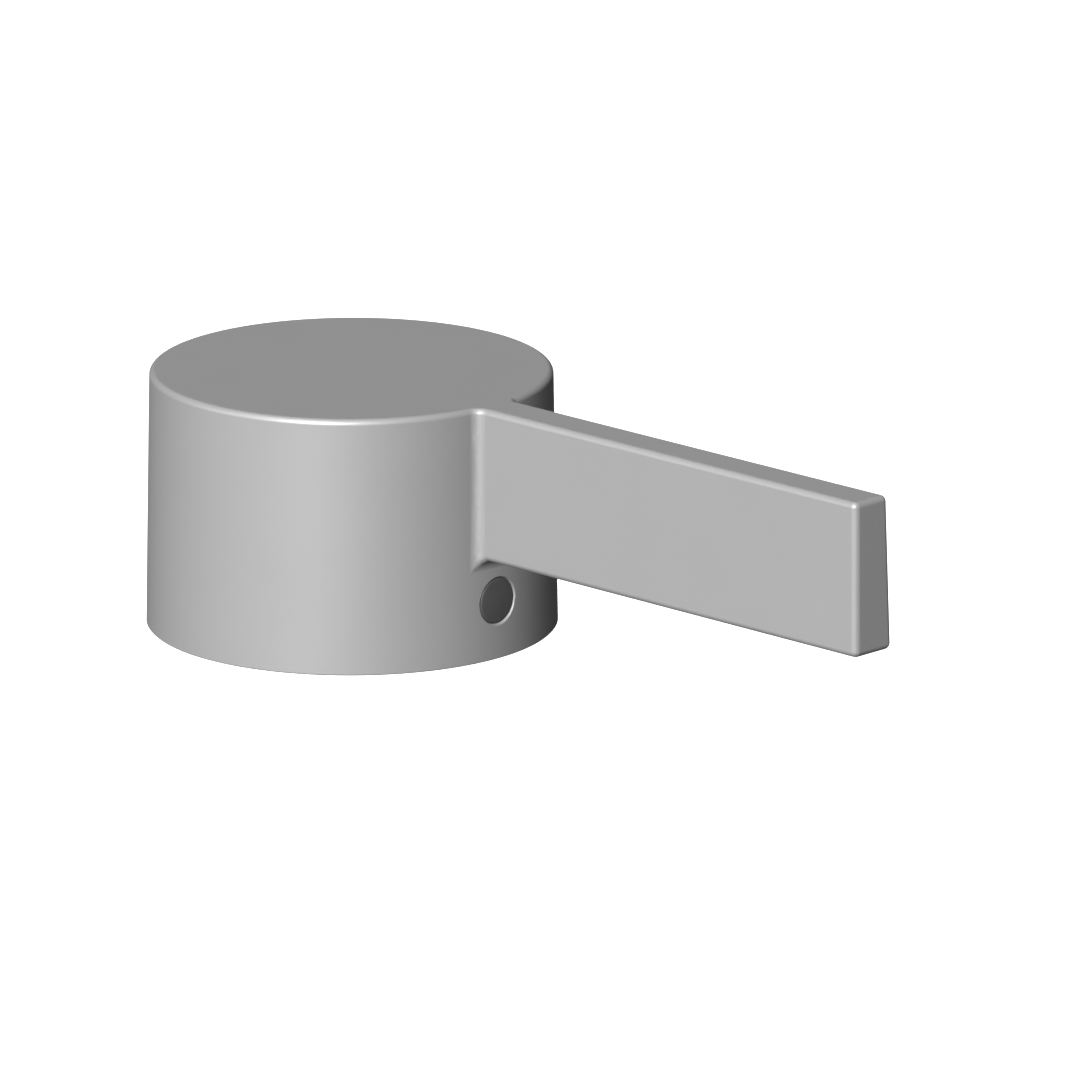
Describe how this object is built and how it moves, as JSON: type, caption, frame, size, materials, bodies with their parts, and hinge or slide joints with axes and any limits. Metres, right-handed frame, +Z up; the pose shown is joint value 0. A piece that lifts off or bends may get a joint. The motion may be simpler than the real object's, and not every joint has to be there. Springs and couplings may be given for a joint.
{
  "type": "tap handle",
  "caption": "Round tap handle cap with a flush blade lever; inside, a hub with a square stem socket, clamped by a grub screw behind a small cover plug.",
  "frame": {"origin": "centre of the cap's mouth, in the plane of its rim, on the axis that the handle turns about", "axes": "+Z up along the cap's axis, +X along the lever"},
  "size_m": [0.1049, 0.047, 0.0297],
  "materials": {
    "cast_metal": "satin grey coating on a zinc casting",
    "screw_steel": "plain machined steel",
    "plug_plastic": "dark grey moulded, fine matt"
  },
  "bodies": {
    "root": {"handle_body": "cast_metal", "grub_screw": "screw_steel", "cover_plug": "plug_plastic"}
  },
  "joints": []
}
